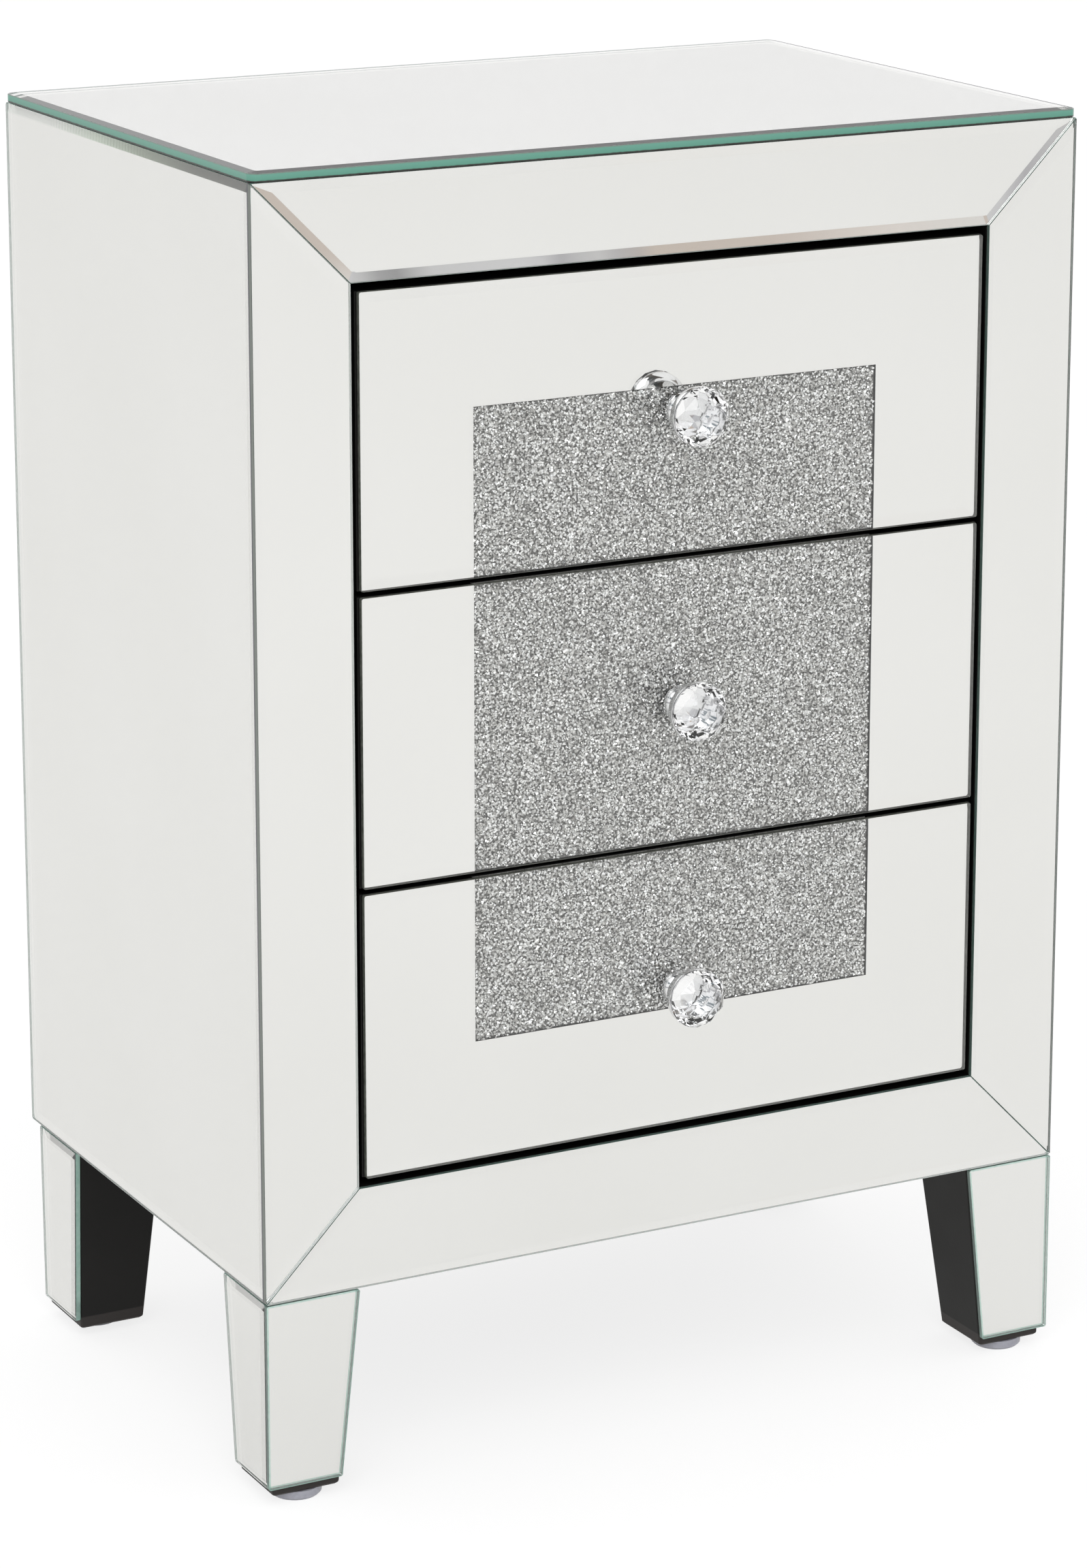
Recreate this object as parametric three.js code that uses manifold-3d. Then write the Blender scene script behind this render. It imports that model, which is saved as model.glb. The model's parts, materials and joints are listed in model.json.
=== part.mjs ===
// Mirrored nightstand: a black board carcass clad in bevelled mirror, on four tapered legs, with three drawers
// Millimetres, X across the front, Y towards the back, Z up, and the front looks along minus Y
import * as THREE from "three";
import { ConvexGeometry } from "three/addons/geometries/ConvexGeometry.js";
import { mergeVertices } from "three/addons/utils/BufferGeometryUtils.js";
import Module from "manifold-3d";

const wasm = await Module();
wasm.setup();

// Overall sizes
const width = 450;
const depth = 300;
const bodyHeight = 545;
const legHeight = 101;

// Mirror glass and how it sits
const glass = 3;
const glueLine = 0.3;
const topGlass = 5;
const topRadius = 5;
const bevelWidth = 5;
const bevelDrop = 0.35;
const stripBevelDrop = 0.6;
const topBevelWidth = 6;
const topBevelDrop = 1;
const plateRadius = 1.5;
const stripRadius = 0.2;
const bevelRadiusShare = 0.4;
const mitreGap = 0.25;

// Front strips of mirror round the drawers
const sideStrip = 50;
const topStrip = 50;
const bottomStrip = 51;

// Boards
const board = 12;
const frameBoard = 15;
const backPanel = 5;
const boardJoint = 0.2;

// Legs, whose inner faces slope, and their glides
const legTop = 50;
const legFoot = 39;
const frontLegTopDepth = 52;
const frontLegFootDepth = 41;
const rearLegInset = 11;
const rearLegTopDepth = 49;
const rearLegFootDepth = 42;
const rearLegHeel = 2;
const legRounding = 1.2;
const footChamfer = 1;
const legMirrorDrop = 0.5;
const legMirrorLift = 5;
const legMirrorRadius = 1;
const legFrontBevel = 0.7;
const legSideBevel = 5.5;
const legFootBevel = 1;
const glideRadius = 13;
const glideHeight = 4.8;
const glideChamfer = 1.2;
const glideGap = 0.2;
const glideNailRadius = 1.5;
const glideNail = 12;
const glideNailSlack = 0.3;
const frontGlideSetback = 16;
const rearGlideSetback = 23;

// Drawer fronts
const drawerNames = ["bottom", "middle", "top"];
const frontSideGap = 4;
const frontEndGap = 4.5;
const frontGap = 3;
const boardReveal = 1;
const drawerRadius = 1;

// Window of crushed crystal that runs down the three drawers, from past the lowest knob to past the highest
const windowWidth = 222;
const windowPastKnob = 11.5;
const inlay = 2.2;
const inlayGap = 0.3;

// Drawer boxes
const boxSideGap = 7;
const boxBackGap = 0.5;
const boxHeight = 110;
const boxRise = 12;
const boxBoard = 12;
const floorBoard = 3;
const floorRise = 8;
const floorGroove = 4;
const grooveSlack = 0.3;

// Runner rails on the side boards, with a tongue in a groove of the drawer side
const railHeight = 22;
const railRise = 46;
const railGap = 1;
const tongueHeight = 9;
const tongueReach = 6.3;
const tongueTopGap = 0.3;
const runnerGroove = 7;
const runnerGrooveHeight = 10;

// Knob, measured outwards from the front of the glass
const knobSeatGap = 0.2;
const footRadius = 8.8;
const footEdge = 1;
const footRounding = 0.5;
const footTop = 5.4;
const footSteps = 4;
const neckRadius = 5.5;
const neckTop = 6.2;
const cupRadius = 12.9;
const cupWall = 0.5;
const cupRim = 17;
const cupSteps = 6;
const crystalGap = 0.3;
const crystalRadius = 15;
const crystalBack = 11.6;
const crystalFront = 32;
const knobBore = 2.1;
const knobBoreDepth = 8;

// Knob screw
const screwRadius = 2;
const screwReach = 7;
const screwHole = 2.6;
const screwTip = 0.6;
const screwHeadRadius = 4;
const screwHead = 2.4;
const screwHeadRounding = 0.9;

// Cut of the crystal, from its back to its table: place along the axis, radius and number of corners
const crystalCutShares = [
  { along: 0, across: 0.42, corners: 8 },
  { along: 0.22, across: 0.75, corners: 16 },
  { along: 0.47, across: 1, corners: 16 },
  { along: 0.67, across: 0.86, corners: 8 },
  { along: 0.87, across: 0.56, corners: 8 },
  { along: 1, across: 0.23, corners: 8 },
];

const roundSteps = 32;
const cornerSteps = 3;
const cutOverrun = 1;
const weldTolerance = 0.0001;
const quarterTurn = Math.PI / 2;

// Planes and heights that the pieces share
const halfWidth = width / 2;
const coreX = halfWidth - glass - glueLine;
const frameFrontY = glass + glueLine;
const frameBackY = frameFrontY + frameBoard;
const backPanelY = depth - backPanel;
const insideFrontY = frameBackY + boardJoint;
const insideBackY = backPanelY - boardJoint;
const legBottom = glideHeight + glideGap;
const bodyBottom = legBottom + legHeight;
const bodyTop = bodyBottom + bodyHeight;
const openHalf = halfWidth - sideStrip;
const openLow = bodyBottom + bottomStrip;
const openHigh = bodyTop - topStrip;
const frontGaps = 2 * frontEndGap + (drawerNames.length - 1) * frontGap;
const frontHeight = (openHigh - openLow - frontGaps) / drawerNames.length;
const frontHalf = openHalf - frontSideGap;
const boxHalf = openHalf - boxSideGap;
const boxBackY = insideBackY - boxBackGap;
const knobHeight = frontHeight / 2;
const windowLow = drawerLow(0) + knobHeight - windowPastKnob;
const windowHigh = drawerLow(drawerNames.length - 1) + knobHeight + windowPastKnob;

const boardPaint = new THREE.MeshStandardMaterial({ color: 0x1d1c1a, roughness: 0.55, metalness: 0 });
const mirrorGlass = new THREE.MeshStandardMaterial({ color: 0xe4e5e1, roughness: 0.04, metalness: 1 });
const crushedCrystal = new THREE.MeshStandardMaterial({ color: 0xbbbab8, roughness: 0.25, metalness: 0.3 });
const cutCrystal = new THREE.MeshStandardMaterial({ color: 0xf2f3f5, roughness: 0.02, metalness: 0 });
const chrome = new THREE.MeshStandardMaterial({ color: 0xc9cacc, roughness: 0.08, metalness: 1 });
const zincSteel = new THREE.MeshStandardMaterial({ color: 0xa9abad, roughness: 0.35, metalness: 1 });
const glidePlastic = new THREE.MeshStandardMaterial({ color: 0xb9b9c4, roughness: 0.45, metalness: 0 });

const nightstand = new THREE.Group();
nightstand.position.y = (crystalFront - depth) / 2;

function drawerLow(order) {
  return openLow + frontEndGap + order * (frontHeight + frontGap);
}

function middle([low, high]) {
  return (low + high) / 2;
}

function namedMesh(name, geometry, material) {
  const faceted = geometry.index ? geometry.toNonIndexed() : geometry;
  faceted.computeVertexNormals();
  const mesh = new THREE.Mesh(faceted, material);
  mesh.name = name;
  return mesh;
}

// A square board between the low and high ends given on each axis
function boxBetween(x, y, z) {
  const geometry = new THREE.BoxGeometry(x[1] - x[0], y[1] - y[0], z[1] - z[0]);
  return geometry.translate(middle(x), middle(y), middle(z));
}

function boardBetween(name, x, y, z) {
  return namedMesh(name, boxBetween(x, y, z), boardPaint);
}

// The profile (x, z) drawn straight through from frontY to backY
function profileAlongDepth(name, corners, frontY, backY) {
  const shape = new THREE.Shape(corners.map(([x, z]) => new THREE.Vector2(x, z)));
  const options = { depth: backY - frontY, bevelEnabled: false };
  const mesh = namedMesh(name, new THREE.ExtrudeGeometry(shape, options), boardPaint);
  mesh.rotation.x = quarterTurn;
  mesh.position.y = backY;
  return mesh;
}

function solidOf(geometry) {
  const bare = geometry.clone();
  bare.deleteAttribute("normal");
  bare.deleteAttribute("uv");
  const welded = mergeVertices(bare, weldTolerance);
  const vertProperties = welded.attributes.position.array;
  const triVerts = new Uint32Array(welded.index.array);
  return new wasm.Manifold(new wasm.Mesh({ numProp: 3, vertProperties, triVerts }));
}

function cutAway(geometry, tools) {
  const left = tools.reduce((rest, tool) => rest.subtract(solidOf(tool)), solidOf(geometry));
  const mesh = left.getMesh();
  const result = new THREE.BufferGeometry();
  result.setAttribute("position", new THREE.BufferAttribute(mesh.vertProperties, 3));
  result.setIndex(new THREE.BufferAttribute(mesh.triVerts, 1));
  return result;
}

// Anticlockwise corners of an outline given either way round
function anticlockwise(corners) {
  const points = corners.map(([x, y]) => new THREE.Vector2(x, y));
  return THREE.ShapeUtils.isClockWise(points) ? points.reverse() : points;
}

function rectangle(halfAcross, low, high) {
  return anticlockwise([
    [-halfAcross, low],
    [halfAcross, low],
    [halfAcross, high],
    [-halfAcross, high],
  ]);
}

// The inward normals of the two edges that meet at each corner of a convex outline
function cornerNormals(corners) {
  const inward = corners.map((corner, i) => {
    const along = corners[(i + 1) % corners.length].clone().sub(corner).normalize();
    return new THREE.Vector2(-along.y, along.x);
  });
  return corners.map((corner, i) => [inward.at(i - 1), inward[i]]);
}

// A convex outline moved inwards, by one distance or by one worked out from each edge's inward normal
function insetOutline(corners, distance) {
  const distanceOf = typeof distance === "function" ? distance : () => distance;
  return cornerNormals(corners).map(([before, after], i) => {
    const bend = before.dot(after);
    const square = 1 - bend * bend;
    const alongBefore = (distanceOf(before) - distanceOf(after) * bend) / square;
    const alongAfter = (distanceOf(after) - distanceOf(before) * bend) / square;
    return corners[i].clone().addScaledVector(before, alongBefore).addScaledVector(after, alongAfter);
  });
}

function roundedOutline(corners, radius) {
  const centres = insetOutline(corners, radius);
  return cornerNormals(corners).flatMap(([before, after], i) => {
    const start = before.clone().negate().angle();
    const turn = Math.acos(before.dot(after));
    return Array.from({ length: cornerSteps + 1 }, (_, step) => {
      const angle = start + (turn * step) / cornerSteps;
      return new THREE.Vector2(Math.cos(angle), Math.sin(angle)).multiplyScalar(radius).add(centres[i]);
    });
  });
}

function atHeight(outline, z) {
  return outline.map((point) => new THREE.Vector3(point.x, point.y, z));
}

// A closed solid through outlines of equal point counts, stacked from low to high
function loft(rings) {
  const count = rings[0].length;
  const last = (rings.length - 1) * count;
  const index = [];
  for (let low = 0; low < last; low += count) {
    for (let i = 0; i < count; i += 1) {
      const next = (i + 1) % count;
      index.push(low + i, low + next, low + count + next);
      index.push(low + i, low + count + next, low + count + i);
    }
  }
  for (let i = 1; i < count - 1; i += 1) {
    index.push(0, i + 1, i);
    index.push(last, last + i, last + i + 1);
  }
  const geometry = new THREE.BufferGeometry().setFromPoints(rings.flat());
  geometry.setIndex(index);
  return geometry;
}

// A glass plate lying on its back, with a flat bevel ground all round its upper face
function bevelledPlate(corners, { thickness, radius, bevel, drop }) {
  const edge = roundedOutline(corners, radius);
  const face = roundedOutline(insetOutline(corners, bevel), radius * bevelRadiusShare);
  return loft([
    atHeight(edge, 0),
    atHeight(edge, thickness - drop),
    atHeight(face, thickness),
  ]);
}

// A frame whose local X and Y lie in a cabinet face and whose Z looks out of it
// Side minus one is the left face, zero the front and one the right
function faceGroup(side, backOfGlass) {
  const group = new THREE.Group();
  group.rotation.set(quarterTurn, side * quarterTurn, 0);
  group.position.set(side * backOfGlass, side === 0 ? backOfGlass : 0, 0);
  nightstand.add(group);
  return group;
}

const frontFace = faceGroup(0, glass);
const sideFaces = new Map([-1, 1].map((side) => [side, faceGroup(side, halfWidth - glass)]));
const sideNames = new Map([
  [-1, "left"],
  [1, "right"],
]);

function mirrorPlate(name, corners, changes = {}) {
  const cut = { thickness: glass, radius: plateRadius, bevel: bevelWidth, drop: bevelDrop, ...changes };
  return namedMesh(name, bevelledPlate(corners, cut), mirrorGlass);
}

// Side board with a runner rail and tongue for each drawer, all in one profile
function addSideBoard(side) {
  const outside = (inward, z) => [side * (coreX - inward), z];
  const railReach = coreX - boxHalf - railGap;
  const low = bodyBottom + board + boardJoint;
  const high = bodyTop - board - boardJoint;
  const rails = drawerNames.flatMap((_, order) => {
    const railLow = drawerLow(order) + railRise;
    const tongueHigh = railLow + (railHeight + tongueHeight) / 2;
    const tongueLow = tongueHigh - tongueHeight;
    const tongueTip = coreX - boxHalf + tongueReach;
    return [
      outside(board, railLow),
      outside(railReach, railLow),
      outside(railReach, tongueLow),
      outside(tongueTip, tongueLow),
      outside(tongueTip, tongueHigh),
      outside(railReach, tongueHigh),
      outside(railReach, railLow + railHeight),
      outside(board, railLow + railHeight),
    ];
  });
  const profile = [outside(0, low), outside(board, low), ...rails, outside(board, high), outside(0, high)];
  nightstand.add(profileAlongDepth(`${sideNames.get(side)}_side_board`, profile, insideFrontY, insideBackY));
}

function addCarcass() {
  const across = [-coreX, coreX];
  const inside = [insideFrontY, insideBackY];
  nightstand.add(boardBetween("top_board", across, inside, [bodyTop - board, bodyTop]));
  nightstand.add(boardBetween("bottom_board", across, inside, [bodyBottom, bodyBottom + board]));
  nightstand.add(boardBetween("back_panel", across, [backPanelY, depth], [bodyBottom, bodyTop]));
  addSideBoard(-1);
  addSideBoard(1);
}

function addFaceFrame() {
  const thick = [frameFrontY, frameBackY];
  const tall = [bodyBottom, bodyTop];
  const between = [boardJoint - openHalf, openHalf - boardJoint];
  nightstand.add(boardBetween("left_stile", [-coreX, -openHalf], thick, tall));
  nightstand.add(boardBetween("right_stile", [openHalf, coreX], thick, tall));
  nightstand.add(boardBetween("top_rail", between, thick, [openHigh, bodyTop]));
  nightstand.add(boardBetween("bottom_rail", between, thick, [bodyBottom, openLow]));
}

// Four mitred strips of mirror round the drawer opening
function addFrontStrips() {
  const g = mitreGap;
  const outlines = {
    top: [
      [g - halfWidth, bodyTop],
      [g - openHalf, openHigh],
      [openHalf - g, openHigh],
      [halfWidth - g, bodyTop],
    ],
    bottom: [
      [g - halfWidth, bodyBottom],
      [halfWidth - g, bodyBottom],
      [openHalf - g, openLow],
      [g - openHalf, openLow],
    ],
    left: [
      [-halfWidth, bodyBottom + g],
      [-openHalf, openLow + g],
      [-openHalf, openHigh - g],
      [-halfWidth, bodyTop - g],
    ],
    right: [
      [halfWidth, bodyBottom + g],
      [halfWidth, bodyTop - g],
      [openHalf, openHigh - g],
      [openHalf, openLow + g],
    ],
  };
  Object.entries(outlines).forEach(([place, corners]) => {
    const cut = { radius: stripRadius, drop: stripBevelDrop };
    frontFace.add(mirrorPlate(`${place}_front_mirror`, anticlockwise(corners), cut));
  });
}

function addSideMirrors() {
  sideFaces.forEach((face, side) => {
    const corners = anticlockwise([
      [side * (glass + boardJoint), bodyBottom],
      [side * depth, bodyBottom],
      [side * depth, bodyTop],
      [side * (glass + boardJoint), bodyTop],
    ]);
    face.add(mirrorPlate(`${sideNames.get(side)}_side_mirror`, corners));
  });
}

function addTopGlass() {
  const mesh = mirrorPlate("top_glass", rectangle(halfWidth, 0, depth), {
    thickness: topGlass,
    radius: topRadius,
    bevel: topBevelWidth,
    drop: topBevelDrop,
  });
  mesh.position.z = bodyTop + glueLine;
  nightstand.add(mesh);
}

// Where a leg with its mirrors stands at its top and at its foot, front to back
function legDepths(row) {
  if (row === "front") {
    return { top: [0, frontLegTopDepth], foot: [0, frontLegFootDepth] };
  }
  const heel = depth - rearLegInset;
  return {
    top: [heel - rearLegTopDepth, heel],
    foot: [heel - rearLegHeel - rearLegFootDepth, heel - rearLegHeel],
  };
}

function blend(from, to, share) {
  return from + (to - from) * share;
}

// Share of the slope reached at a height, zero under the body and one at the foot
function slopeShare(z) {
  return (bodyBottom - z) / legHeight;
}

function legCore(name, side, row) {
  const depths = legDepths(row);
  const front = row === "front" ? frameFrontY : 0;
  const section = (z, inward) => {
    const share = slopeShare(z);
    const inner = halfWidth - blend(legTop, legFoot, share);
    const low = Math.max(front, blend(depths.top[0], depths.foot[0], share));
    const high = blend(depths.top[1], depths.foot[1], share);
    const corners = anticlockwise([
      [side * coreX, low],
      [side * coreX, high],
      [side * inner, high],
      [side * inner, low],
    ]);
    return atHeight(roundedOutline(insetOutline(corners, inward), legRounding), z);
  };
  const body = loft([
    section(legBottom, footChamfer),
    section(legBottom + footChamfer, 0),
    section(bodyBottom - boardJoint, 0),
  ]);
  const glide = glidePlace(side, row);
  const nailHole = glideNail + glideNailSlack;
  const hole = new THREE.CylinderGeometry(
    glideNailRadius + glideNailSlack,
    glideNailRadius + glideNailSlack,
    nailHole + cutOverrun,
    roundSteps / 2,
  );
  hole.rotateX(quarterTurn);
  hole.translate(glide.x, glide.y, legBottom + (nailHole - cutOverrun) / 2);
  return namedMesh(name, cutAway(body, [hole]), boardPaint);
}

function glidePlace(side, row) {
  const setback = row === "front" ? frontGlideSetback : rearGlideSetback;
  const middleX = (coreX + halfWidth - legFoot) / 2;
  return { x: side * middleX, y: legDepths(row).foot[0] + setback };
}

function glideMesh(name, side, row) {
  const profile = [
    [0, 0],
    [glideRadius - glideChamfer, 0],
    [glideRadius, glideChamfer],
    [glideRadius, glideHeight],
    [glideNailRadius, glideHeight],
    [glideNailRadius, glideHeight + glideNail - glideNailRadius],
    [0, glideHeight + glideNail],
  ].map(([radius, z]) => new THREE.Vector2(radius, z));
  const mesh = namedMesh(name, new THREE.LatheGeometry(profile, roundSteps), glidePlastic);
  const place = glidePlace(side, row);
  mesh.rotation.x = quarterTurn;
  mesh.position.set(place.x, place.y, 0);
  return mesh;
}

// Outline of a leg mirror between its outer edge and the sloping inner edge
function legMirrorOutline(place) {
  const top = bodyBottom - legMirrorDrop;
  const foot = legBottom + legMirrorLift;
  return anticlockwise([
    place(0, top),
    place(0, foot),
    place(1, foot),
    place(1, top),
  ]);
}

function legFrontMirror(name, side) {
  const outline = legMirrorOutline((inner, z) => {
    const inward = inner * blend(legTop, legFoot, slopeShare(z));
    return [side * (halfWidth - inward), z];
  });
  return mirrorPlate(name, outline, { radius: legMirrorRadius, bevel: legFrontBevel });
}

function legSideMirror(name, side, row) {
  const depths = legDepths(row);
  const behind = row === "front" ? glass + boardJoint : 0;
  const outline = legMirrorOutline((rear, z) => {
    const y = blend(depths.top[rear], depths.foot[rear], slopeShare(z));
    return [side * Math.max(y, behind), z];
  });
  const bevel = (inward) => (inward.y > Math.SQRT1_2 ? legFootBevel : legSideBevel);
  return mirrorPlate(name, outline, { radius: legMirrorRadius, bevel });
}

function addLegs() {
  ["front", "rear"].forEach((row) => {
    sideFaces.forEach((face, side) => {
      const name = `${row}_${sideNames.get(side)}_leg`;
      nightstand.add(legCore(name, side, row));
      nightstand.add(glideMesh(`${row}_${sideNames.get(side)}_glide`, side, row));
      face.add(legSideMirror(`${name}_side_mirror`, side, row));
      if (row === "front") {
        frontFace.add(legFrontMirror(`${name}_front_mirror`, side));
      }
    });
  });
}

// A round bore along the knob axis, between two depths behind the front of the glass
function knobBoreTool(radius, frontY, backY) {
  const bore = new THREE.CylinderGeometry(radius, radius, backY - frontY + 2 * cutOverrun, roundSteps / 2);
  return bore.translate(0, (frontY + backY) / 2, knobHeight);
}

function drawerMirror(name) {
  const plate = bevelledPlate(rectangle(frontHalf, 0, frontHeight), {
    thickness: glass,
    radius: drawerRadius,
    bevel: bevelWidth,
    drop: bevelDrop,
  });
  plate.rotateX(quarterTurn);
  plate.translate(0, glass, 0);
  return namedMesh(name, cutAway(plate, [knobBoreTool(screwHole, 0, glass)]), mirrorGlass);
}

function drawerFrontBoard(name, low) {
  const thick = [frameFrontY, frameBackY];
  const halfBoard = frontHalf + boardReveal;
  const halfRecess = windowWidth / 2 + inlayGap;
  const front = boxBetween([-halfBoard, halfBoard], thick, [0, frontHeight]);
  const recess = boxBetween(
    [-halfRecess, halfRecess],
    [frameFrontY - cutOverrun, frameFrontY + inlay + inlayGap],
    [windowLow - low - inlayGap, windowHigh - low + inlayGap],
  );
  return namedMesh(name, cutAway(front, [recess, knobBoreTool(screwHole, ...thick)]), boardPaint);
}

function crystalInlay(name, low) {
  const thick = [frameFrontY, frameFrontY + inlay];
  const tall = [Math.max(windowLow - low, inlayGap), Math.min(windowHigh - low, frontHeight - inlayGap)];
  const sheet = boxBetween([-windowWidth / 2, windowWidth / 2], thick, tall);
  return namedMesh(name, cutAway(sheet, [knobBoreTool(screwHole, ...thick)]), crushedCrystal);
}

// Drawer side with the runner groove outside and the floor groove inside
function drawerSide(name, side) {
  const outside = (inward, z) => [side * (boxHalf - inward), boxRise + z];
  const grooveHigh = runnerGrooveTop() - boxRise;
  const grooveLow = grooveHigh - runnerGrooveHeight;
  const floorLow = floorRise - grooveSlack;
  const floorHigh = floorRise + floorBoard + grooveSlack;
  const profile = [
    outside(0, 0),
    outside(boxBoard, 0),
    outside(boxBoard, floorLow),
    outside(boxBoard - floorGroove, floorLow),
    outside(boxBoard - floorGroove, floorHigh),
    outside(boxBoard, floorHigh),
    outside(boxBoard, boxHeight),
    outside(0, boxHeight),
    outside(0, grooveHigh),
    outside(runnerGroove, grooveHigh),
    outside(runnerGroove, grooveLow),
    outside(0, grooveLow),
  ];
  return profileAlongDepth(name, profile, insideFrontY, boxBackY);
}

// Height of the groove's bearing face above the foot of the drawer front
function runnerGrooveTop() {
  return railRise + (railHeight + tongueHeight) / 2 + tongueTopGap;
}

function drawerBack(name) {
  const half = boxHalf - boxBoard - boardJoint;
  const low = boxRise + floorRise + floorBoard + grooveSlack;
  return boardBetween(name, [-half, half], [boxBackY - boxBoard, boxBackY], [low, boxRise + boxHeight]);
}

function drawerFloor(name) {
  const half = boxHalf - boxBoard + floorGroove - grooveSlack;
  const low = boxRise + floorRise;
  return boardBetween(name, [-half, half], [insideFrontY, boxBackY], [low, low + floorBoard]);
}

// Turned piece on the knob axis, its profile given as radius and distance out from the glass
function turnedOnKnobAxis(name, profile, material) {
  const points = profile.map(([radius, out]) => new THREE.Vector2(radius, out));
  return onKnobAxis(namedMesh(name, new THREE.LatheGeometry(points, roundSteps), material));
}

function onKnobAxis(mesh) {
  mesh.rotation.x = Math.PI;
  mesh.position.z = knobHeight;
  return mesh;
}

// Distance out from the glass and radius of one ring of corners of the crystal
function crystalRing({ along, across }) {
  return { out: blend(crystalBack, crystalFront, along), radius: crystalRadius * across };
}

// Chrome base bored for its screw: a domed foot, a short neck and a tulip cup for the back of the crystal
function knobBase(name) {
  const dome = Array.from({ length: footSteps + 1 }, (_, step) => {
    const angle = (quarterTurn * step) / footSteps;
    return [blend(neckRadius, footRadius, Math.cos(angle)), blend(footEdge, footTop, Math.sin(angle))];
  });
  const cup = Array.from({ length: cupSteps + 1 }, (_, step) => {
    const share = step / cupSteps;
    const swell = THREE.MathUtils.smoothstep(share, 0, 1);
    return [blend(neckRadius, cupRadius, swell), blend(neckTop, cupRim, share)];
  });
  const [back, shoulder] = crystalCutShares.map(crystalRing);
  const seat = back.out - crystalGap;
  const profile = [
    [0, knobBoreDepth],
    [knobBore, knobBoreDepth],
    [knobBore, knobSeatGap],
    [footRadius - footRounding, knobSeatGap],
    [footRadius, knobSeatGap + footRounding],
    ...dome,
    ...cup,
    [cupRadius - cupWall, cupRim],
    [shoulder.radius + crystalGap, shoulder.out - crystalGap],
    [back.radius + crystalGap, seat],
    [0, seat],
  ];
  return turnedOnKnobAxis(name, profile, chrome);
}

function knobScrew(name) {
  const underHead = -frameBackY - knobSeatGap;
  const headEnd = underHead - screwHead;
  const profile = [
    [0, headEnd],
    [screwHeadRadius - screwHeadRounding, headEnd],
    [screwHeadRadius, headEnd + screwHeadRounding],
    [screwHeadRadius, underHead],
    [screwRadius, underHead],
    [screwRadius, screwReach - screwTip],
    [screwRadius - screwTip, screwReach],
    [0, screwReach],
  ];
  return turnedOnKnobAxis(name, profile, zincSteel);
}

// Cut crystal: rings of corners, each turned half a step from the last, and the flat facets between them
function knobCrystal(name) {
  const points = crystalCutShares.flatMap((share, order) => {
    const { out, radius } = crystalRing(share);
    return Array.from({ length: share.corners }, (_, i) => {
      const angle = ((i + (order % 2) / 2) / share.corners) * 2 * Math.PI;
      return new THREE.Vector3(radius * Math.cos(angle), out, radius * Math.sin(angle));
    });
  });
  return onKnobAxis(namedMesh(name, new ConvexGeometry(points), cutCrystal));
}

function addDrawer(place, order) {
  const low = drawerLow(order);
  const name = `${place}_drawer`;
  const drawer = new THREE.Group();
  drawer.position.z = low;
  drawer.add(
    drawerMirror(`${name}_mirror`),
    drawerFrontBoard(`${name}_front_board`, low),
    crystalInlay(`${name}_crystal_inlay`, low),
    drawerSide(`${name}_left_side`, -1),
    drawerSide(`${name}_right_side`, 1),
    drawerBack(`${name}_back`),
    drawerFloor(`${name}_floor`),
    knobBase(`${name}_knob_base`),
    knobCrystal(`${name}_knob_crystal`),
    knobScrew(`${name}_knob_screw`),
  );
  nightstand.add(drawer);
}

addCarcass();
addFaceFrame();
addFrontStrips();
addSideMirrors();
addTopGlass();
addLegs();
drawerNames.forEach(addDrawer);

export default nightstand;
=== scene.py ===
import json
import math

import bmesh
import bpy
import numpy as np
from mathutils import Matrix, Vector


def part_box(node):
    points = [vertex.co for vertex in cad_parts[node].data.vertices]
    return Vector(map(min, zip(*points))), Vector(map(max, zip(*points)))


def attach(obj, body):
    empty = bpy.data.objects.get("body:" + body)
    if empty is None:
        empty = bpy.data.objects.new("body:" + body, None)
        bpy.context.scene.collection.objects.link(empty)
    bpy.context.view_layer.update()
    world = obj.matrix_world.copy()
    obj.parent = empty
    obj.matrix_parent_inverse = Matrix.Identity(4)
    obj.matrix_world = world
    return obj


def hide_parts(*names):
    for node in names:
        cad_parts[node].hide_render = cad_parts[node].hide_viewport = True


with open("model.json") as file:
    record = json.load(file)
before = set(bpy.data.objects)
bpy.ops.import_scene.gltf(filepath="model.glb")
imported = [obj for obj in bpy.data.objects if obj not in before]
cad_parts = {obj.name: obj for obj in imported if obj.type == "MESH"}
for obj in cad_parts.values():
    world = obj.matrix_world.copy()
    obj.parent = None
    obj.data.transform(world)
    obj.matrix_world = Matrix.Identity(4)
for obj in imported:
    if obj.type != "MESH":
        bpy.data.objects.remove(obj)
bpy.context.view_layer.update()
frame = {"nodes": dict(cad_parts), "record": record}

print("stage: frame loaded,", len(frame["nodes"]), "nodes")

millimetre = 0.001
nodes = frame["nodes"]
bodies = frame["record"]["behaviour"]["bodies"]
bodyOf = {node: body for body, members in bodies.items() for node in members}
slotOf = {entry["node"]: entry["material_slot"] for entry in frame["record"]["subparts"]}
drawers = ["top_drawer", "middle_drawer", "bottom_drawer"]


# Shader sheets: a wire is a socket that can be used in sums

class Wire:
    def __init__(self, sheet, socket):
        self.sheet = sheet
        self.socket = socket

    def maths(self, operation, first, second):
        return self.sheet.add("ShaderNodeMath", {"operation": operation}, {0: first, 1: second})

    def __add__(self, other):
        return self.maths("ADD", self, other)

    __radd__ = __add__

    def __sub__(self, other):
        return self.maths("SUBTRACT", self, other)

    def __rsub__(self, other):
        return self.maths("SUBTRACT", other, self)

    def __mul__(self, other):
        return self.maths("MULTIPLY", self, other)

    __rmul__ = __mul__

    def __gt__(self, other):
        return self.maths("GREATER_THAN", self, other)

    def upTo(self, most):
        return self.maths("MINIMUM", self, most)


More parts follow.
